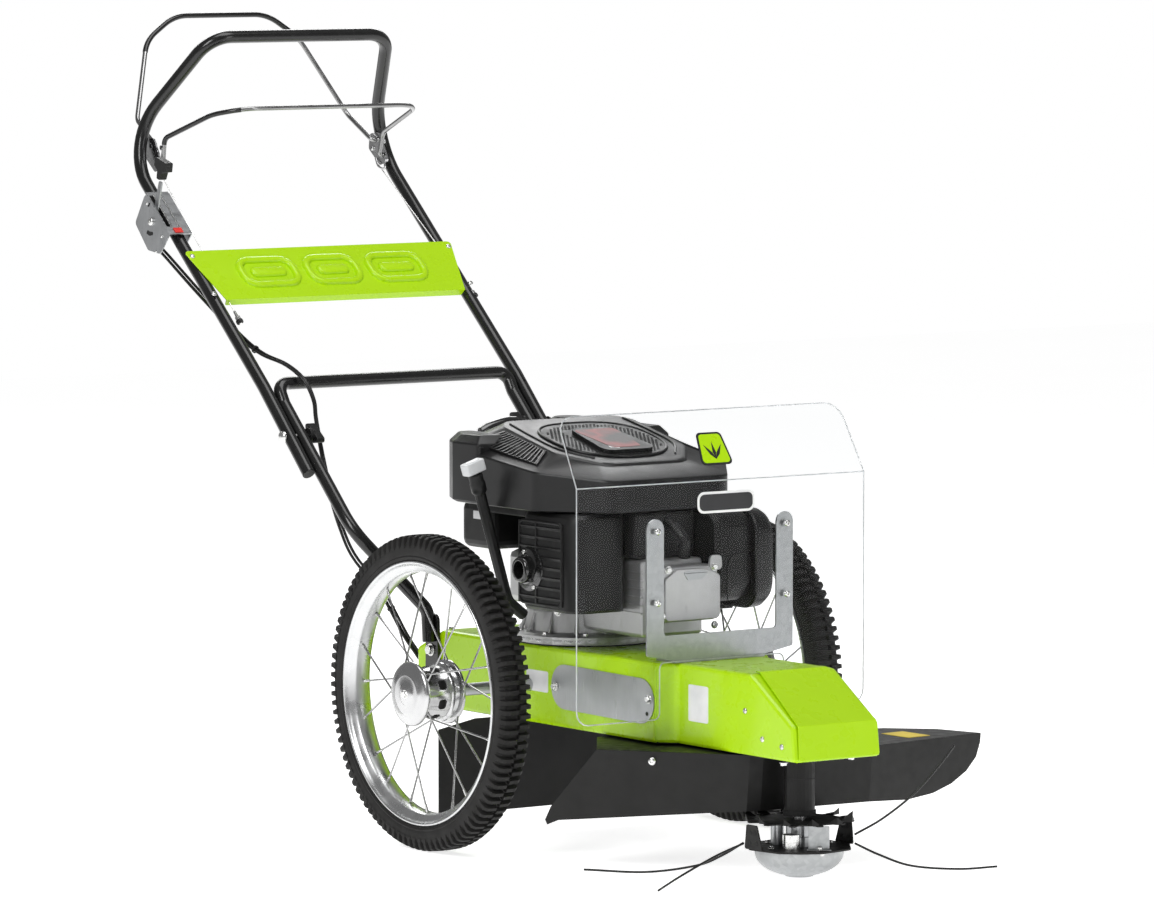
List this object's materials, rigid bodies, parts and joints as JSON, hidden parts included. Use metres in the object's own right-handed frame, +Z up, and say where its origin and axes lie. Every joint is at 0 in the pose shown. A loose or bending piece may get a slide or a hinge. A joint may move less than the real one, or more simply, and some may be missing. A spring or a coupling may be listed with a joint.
{
  "type": "wheeled brush mower",
  "caption": "Walk-behind brush mower: spoked wheels, long sheet-steel chassis, vertical-shaft engine, belt-driven line head, clear guard and folding handle with bails.",
  "frame": {"origin": "on the ground, under the middle of the machine's footprint without the cutting lines", "axes": "+Y towards the operator, +Z up, +X to the machine's left seen from the operator; the cutting head is towards -Y"},
  "size_m": [0.7684, 1.855, 1.3149],
  "materials": {
    "lime_paint": "glossy lime-green paint",
    "black_powder_coat": "satin black powder coat",
    "black_tube_paint": "semi-gloss black paint",
    "galvanised_steel": "galvanised, faintly spangled",
    "steel_plate": "bare plated steel",
    "chrome": "bright plated",
    "polished_alloy": "polished",
    "rubber_tyre": "matte black rubber",
    "belt_rubber": "matte black rubber",
    "nylon_line": "black nylon",
    "clear_polycarbonate": "clear",
    "cast_aluminium": "cast, satin",
    "black_plastic": "satin moulded",
    "gloss_black": "gloss",
    "dark_steel": "dark heat-stained",
    "dark_plastic": "matte moulded",
    "light_grey_plastic": "light grey moulded"
  },
  "bodies": {
    "chassis": {"chassis_frame": "lime_paint", "nose_cover": "lime_paint", "belly_cover": "black_powder_coat", "inspection_plate_right": "steel_plate", "inspection_plate_left": "steel_plate", "front_deflector": "black_powder_coat", "rear_skirt": "black_powder_coat", "windshield_bracket": "galvanised_steel", "windshield": "clear_polycarbonate", "axle": "steel_plate", "gearbox": "cast_aluminium", "drive_belt": "belt_rubber", "spindle_housing": "black_powder_coat", "engine_base": "cast_aluminium", "rocker_cover": "cast_aluminium", "muffler_guard": "black_plastic", "muffler": "dark_steel", "exhaust_outlet": "gloss_black", "cylinder_shroud": "black_plastic", "spark_plug_boot": "black_plastic", "air_filter_case": "black_plastic", "air_filter_cover": "black_plastic", "fuel_tank": "dark_plastic", "blower_cowl": "black_plastic", "top_emblem_plate": "gloss_black", "oil_fill_tube": "black_plastic", "lower_frame": "black_tube_paint", "lower_cables": "belt_rubber"},
    "wheel_right": {"tyre_right": "rubber_tyre", "rim_right": "polished_alloy", "hub_right": "chrome"},
    "wheel_left": {"tyre_left": "rubber_tyre", "rim_left": "polished_alloy", "hub_left": "chrome"},
    "crank": {"engine_pulley": "steel_plate"},
    "head": {"spindle_pulley": "steel_plate", "spindle_shaft": "chrome", "anti_wrap_disc": "black_powder_coat", "head_drum": "steel_plate", "line_plate": "black_powder_coat", "skid_bowl": "galvanised_steel", "trimmer_line_1": "nylon_line", "trimmer_line_2": "nylon_line", "trimmer_line_3": "nylon_line", "trimmer_line_4": "nylon_line"},
    "fuel_cap": {"fuel_cap": "black_plastic"},
    "dipstick": {"oil_dipstick": "light_grey_plastic"},
    "starter": {"starter_grip": "black_plastic"},
    "handle": {"handlebar": "black_tube_paint", "rear_panel": "lime_paint", "control_box": "steel_plate", "bail_bracket_right": "chrome", "bail_bracket_left": "chrome", "upper_cables": "belt_rubber"},
    "brake_bail": {"brake_bail": "black_tube_paint"},
    "drive_bail": {"drive_bail": "chrome"},
    "throttle": {"throttle_lever": "steel_plate", "throttle_knob": "black_plastic"},
    "clamp_right": {"clamp_knob_right": "black_plastic"},
    "clamp_left": {"clamp_knob_left": "black_plastic"}
  },
  "joints": [
    {"name": "wheel_right_spin", "type": "hinge", "parent": "chassis", "child": "wheel_right", "pos_m": [-0.3342, -0.2098, 0.254], "axis": [1, 0, 0], "continuous": true},
    {"name": "wheel_left_spin", "type": "hinge", "parent": "chassis", "child": "wheel_left", "pos_m": [0.2824, -0.2098, 0.254], "axis": [1, 0, 0], "continuous": true},
    {"name": "head_spin", "type": "hinge", "parent": "chassis", "child": "head", "pos_m": [-0.0259, -0.7838, 0.0445], "axis": [0, 0, 1], "continuous": true, "deforming": ["trimmer_line_1", "trimmer_line_2", "trimmer_line_3", "trimmer_line_4"]},
    {"name": "crank_spin", "type": "hinge", "parent": "chassis", "child": "crank", "pos_m": [-0.0259, -0.2098, 0.2745], "axis": [0, 0, 1], "continuous": true},
    {"name": "handle_fold", "type": "hinge", "parent": "chassis", "child": "handle", "pos_m": [-0.0259, 0.2782, 0.63], "axis": [1, 0, 0], "range_deg": [-20, 95], "deforming": ["upper_cables", "lower_cables"]},
    {"name": "brake_bail_squeeze", "type": "hinge", "parent": "handle", "child": "brake_bail", "pos_m": [-0.0259, 0.7432, 1.094], "axis": [1, 0, 0], "range_deg": [0, 56], "stiffness_Nm_per_rad": 0.8, "springref_deg": -28.65},
    {"name": "drive_bail_squeeze", "type": "hinge", "parent": "handle", "child": "drive_bail", "pos_m": [-0.0259, 0.7202, 1.068], "axis": [-1, 0, 0], "range_deg": [0, 32], "stiffness_Nm_per_rad": 0.8, "springref_deg": -28.65},
    {"name": "throttle_lever_turn", "type": "hinge", "parent": "handle", "child": "throttle", "pos_m": [-0.2994, 0.6662, 0.969], "axis": [1, 0, 0], "range_deg": [-15, 25]},
    {"name": "clamp_right_turn", "type": "hinge", "parent": "chassis", "child": "clamp_right", "pos_m": [-0.2579, 0.2782, 0.63], "axis": [1, 0, 0], "continuous": true},
    {"name": "clamp_left_turn", "type": "hinge", "parent": "chassis", "child": "clamp_left", "pos_m": [0.2061, 0.2782, 0.63], "axis": [1, 0, 0], "continuous": true},
    {"name": "fuel_cap_turn", "type": "hinge", "parent": "chassis", "child": "fuel_cap", "pos_m": [0.0241, -0.0918, 0.656], "axis": [0, 0, 1], "range_deg": [0, 90]},
    {"name": "dipstick_pull", "type": "slide", "parent": "chassis", "child": "dipstick", "axis": [-0.3079, -0.0272, 0.951], "range_m": [0, 0.15]},
    {"name": "starter_pull", "type": "slide", "parent": "chassis", "child": "starter", "axis": [0, 0.769, 0.6392], "range_m": [0, 0.35], "stiffness_N_per_m": 20, "springref_m": -0.3}
  ],
  "couplings": [
    {"joint": "crank_spin", "follows": "head_spin", "ratio": 0.91736}
  ]
}
